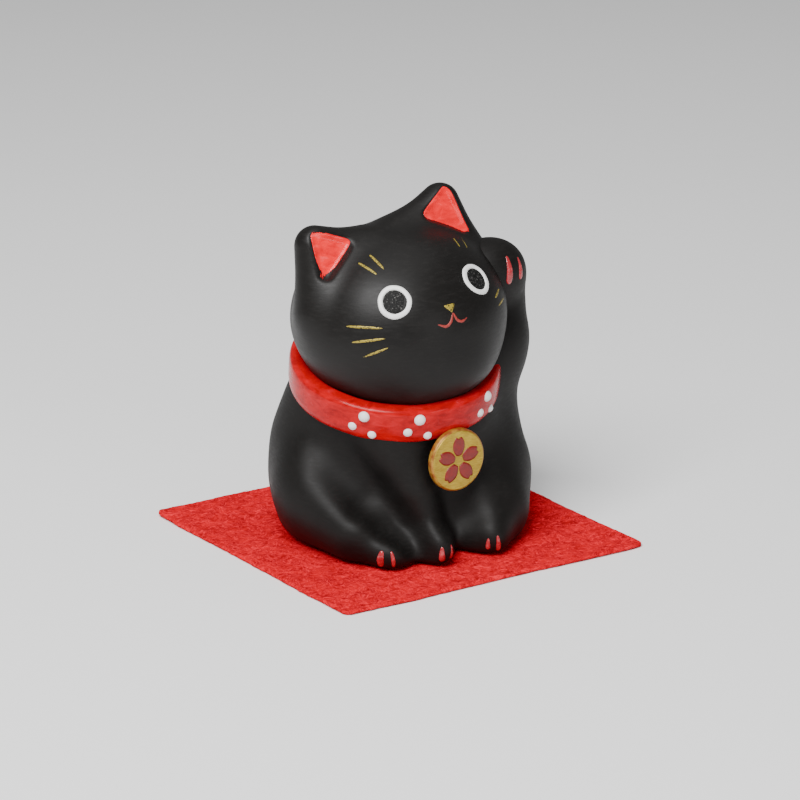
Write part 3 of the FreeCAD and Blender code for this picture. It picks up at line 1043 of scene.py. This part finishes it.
def value_noise(x, y, cell, seed):
    """Smooth noise from -1 to 1 on a grid of cells."""
    table = np.random.default_rng(seed).uniform(-1.0, 1.0, (64, 64))
    column, row = x / cell, y / cell
    left, low = np.floor(column).astype(int), np.floor(row).astype(int)
    u, v = column - left, row - low
    u, v = u * u * (3.0 - 2.0 * u), v * v * (3.0 - 2.0 * v)
    pick = lambda i, j: table[(left + i) % 64, (low + j) % 64]
    return ((1 - u) * (1 - v) * pick(0, 0) + u * (1 - v) * pick(1, 0)
            + (1 - u) * v * pick(0, 1) + u * v * pick(1, 1))


MAT_CORNERS = (((-43.6, -43.8), (-44.9, 42.4)), ((43.2, -45.1), (43.4, 43.4)))


def mat_surface(u, v):
    """Where a point of the cut cloth lies, for u and v from -1 to 1: (x, y, lift) in mm."""
    a, b = (u + 1.0) / 2.0, (v + 1.0) / 2.0
    (front_left, back_left), (front_right, back_right) = MAT_CORNERS
    x, y = [(1 - a) * (1 - b) * front_left[i] + (1 - a) * b * back_left[i]
            + a * (1 - b) * front_right[i] + a * b * back_right[i] for i in (0, 1)]
    rounding = 0.9 * (np.abs(u * v)) ** 60
    x, y = x - rounding * np.sign(u), y - rounding * np.sign(v)
    edge = np.maximum(np.abs(u), np.abs(v)) ** 12
    x = x + edge * (0.30 * value_noise(x + 80, y + 80, 11.0, 3) + 0.11 * value_noise(x + 80, y + 80, 1.7, 4))
    y = y + edge * (0.30 * value_noise(x + 80, y + 80, 9.0, 5) + 0.11 * value_noise(x + 80, y + 80, 1.9, 6))
    curl = np.clip((v - u) / 2.0 - 0.8, 0.0, 1.0) / 0.2
    return x, y, 0.35 * curl ** 1.6 + 0.12 * edge * (1.0 + value_noise(x + 80, y + 80, 14.0, 9))


def felt_mat():
    count = 300
    share = np.linspace(-1.0, 1.0, count)
    u, v = np.meshgrid(share, share, indexing="ij")
    x, y, lift = mat_surface(u, v)
    rough = 0.09 * value_noise(x + 80, y + 80, 0.8, 7) + 0.07 * value_noise(x + 80, y + 80, 2.1, 8)
    edge = np.clip((1.0 - np.maximum(np.abs(u), np.abs(v))) * count / 6.0, 0.0, 1.0)
    rounded = np.sqrt(np.clip(1.0 - (1.0 - edge) ** 2, 0.0, 1.0))
    under_cat = np.clip((np.sqrt(x ** 2 + y ** 2) - 28.0) / 12.0, 0.0, 1.0)
    top = MAT_THICKNESS * (0.55 + 0.37 * rounded) + (rough + 0.02) * rounded * under_cat + lift
    bottom = 0.18 * MAT_THICKNESS * (1.0 - rounded) + 0.01 + lift
    vertices = np.concatenate([np.stack([x, y, level], -1).reshape(-1, 3) for level in (top, bottom)])
    size = count * count
    faces = grid_faces(count, count, 0, False, flip=True) + grid_faces(count, count, size, False)
    faces += rim_faces(count, count, 0, size)
    return make_object("felt_mat_cloth", vertices * MM, faces)


def fibres(count=2600):
    """Loose fibres that curl on the felt and past its edges."""
    steps, sides = 7, 3
    vertices, faces = [], []
    for index in range(count):
        at_edge = index % 5 < 2
        u, v = RNG.uniform(-0.985, 0.985, 2)
        if at_edge:
            u, v = (RNG.choice([-1.0, 1.0]), v) if RNG.random() < 0.5 else (u, RNG.choice([-1.0, 1.0]))
        x, y, lift = (float(part) for part in mat_surface(np.array(u), np.array(v)))
        if at_edge and lift > 0.02:
            continue
        heading = RNG.uniform(0.0, 2.0 * math.pi)
        bend = RNG.normal(0.0, 0.5)
        step = RNG.uniform(0.12, 0.34)
        height = RNG.uniform(0.1, 0.85) if at_edge else MAT_THICKNESS * 0.9
        radius = RNG.uniform(0.018, 0.032)
        line = [np.array([x, y, height + lift])]
        for number in range(1, steps):
            heading += bend * 0.5
            rise = RNG.uniform(0.0, 0.06) if number < 4 else RNG.uniform(-0.07, 0.03)
            line.append(line[-1] + np.array([step * math.cos(heading), step * math.sin(heading), rise]))
        line = np.array(line)
        line[:, 2] = np.clip(line[:, 2], 0.06, None)
        along = np.gradient(line, axis=0)
        along /= np.maximum(np.linalg.norm(along, axis=-1, keepdims=True), 1e-9)
        first = np.cross(along, (0.0, 0.0, 1.0))
        first /= np.maximum(np.linalg.norm(first, axis=-1, keepdims=True), 1e-9)
        second = np.cross(along, first)
        start = len(vertices) * steps * sides
        ring = [line + radius * (math.cos(a) * first + math.sin(a) * second)
                for a in np.linspace(0.0, 2.0 * math.pi, sides, endpoint=False)]
        vertices.append(np.stack(ring, 1).reshape(-1, 3))
        faces += grid_faces(steps, sides, start, True)
    return make_object("felt_mat_fibres", np.concatenate(vertices) * MM, faces)


cloth = finish(felt_mat(), red_felt, "mat")
loose = finish(fibres(), red_felt, "mat")
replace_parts(cloth, "felt_mat")


# ---------------------------------------------------------------------------------------------
# Normals: every closed piece faces outwards

def face_outwards(obj):
    work = bmesh.new()
    work.from_mesh(obj.data)
    bmesh.ops.recalc_face_normals(work, faces=work.faces)
    work.to_mesh(obj.data)
    work.free()


# ---------------------------------------------------------------------------------------------
# Camera, floor and light

VIEW_AZIMUTH, VIEW_ELEVATION = math.radians(-33.92), math.radians(17.8)
VIEW_DISTANCE, VIEW_SIDEWAYS, VIEW_RISE = 872.5, 0.79, 31.99

back = Vector((math.sin(VIEW_AZIMUTH) * math.cos(VIEW_ELEVATION),
               -math.cos(VIEW_AZIMUTH) * math.cos(VIEW_ELEVATION), math.sin(VIEW_ELEVATION)))
right = Vector((math.cos(VIEW_AZIMUTH), math.sin(VIEW_AZIMUTH), 0.0))
camera_data = bpy.data.cameras.new("camera")
camera_data.lens, camera_data.sensor_width = 157.5, 36.0
camera_data.clip_start, camera_data.clip_end = 0.01, 100.0
camera = bpy.data.objects.new("camera", camera_data)
bpy.context.scene.collection.objects.link(camera)
camera.location = (back * VIEW_DISTANCE + right * VIEW_SIDEWAYS + back.cross(right) * VIEW_RISE) * MM
camera.rotation_euler = (-back).to_track_quat("-Z", "Y").to_euler()
bpy.context.scene.camera = camera


def area_light(name, location, aim, size, power):
    data = bpy.data.lights.new(name, "AREA")
    data.shape, data.size, data.size_y = "RECTANGLE", size, size
    data.energy = power
    light = bpy.data.objects.new(name, data)
    bpy.context.scene.collection.objects.link(light)
    light.location = location
    light.rotation_euler = (Vector(aim) - Vector(location)).to_track_quat("-Z", "Y").to_euler()
    light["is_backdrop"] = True


def floor():
    mesh = bpy.data.meshes.new("floor")
    reach = 6.0
    corners = [(-reach, -reach, 0.0), (reach, -reach, 0.0), (reach, reach, 0.0), (-reach, reach, 0.0)]
    mesh.from_pydata(corners, [], [(0, 1, 2, 3)])
    obj = bpy.data.objects.new("floor", mesh)
    bpy.context.scene.collection.objects.link(obj)
    material, _, shader = new_material("studio_floor")
    shader.inputs["Base Color"].default_value = (0.92, 0.92, 0.92, 1.0)
    shader.inputs["Roughness"].default_value = 0.7
    mesh.materials.append(material)
    obj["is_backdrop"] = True


floor()
aim_at = (0.0, 0.0, 0.045)
area_light("key", (-0.53, -0.33, 0.80), aim_at, 0.6, 17.5)
area_light("fill", (0.10, -0.95, 0.30), aim_at, 0.3, 1.2)
area_light("top", (0.1, 0.1, 1.1), aim_at, 0.9, 2.5)

world = bpy.data.worlds.new("studio")
world.use_nodes = True
world.node_tree.nodes["Background"].inputs["Color"].default_value = (1.0, 1.0, 1.0, 1.0)
world.node_tree.nodes["Background"].inputs["Strength"].default_value = 0.25
bpy.context.scene.world = world

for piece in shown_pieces():
    face_outwards(piece)
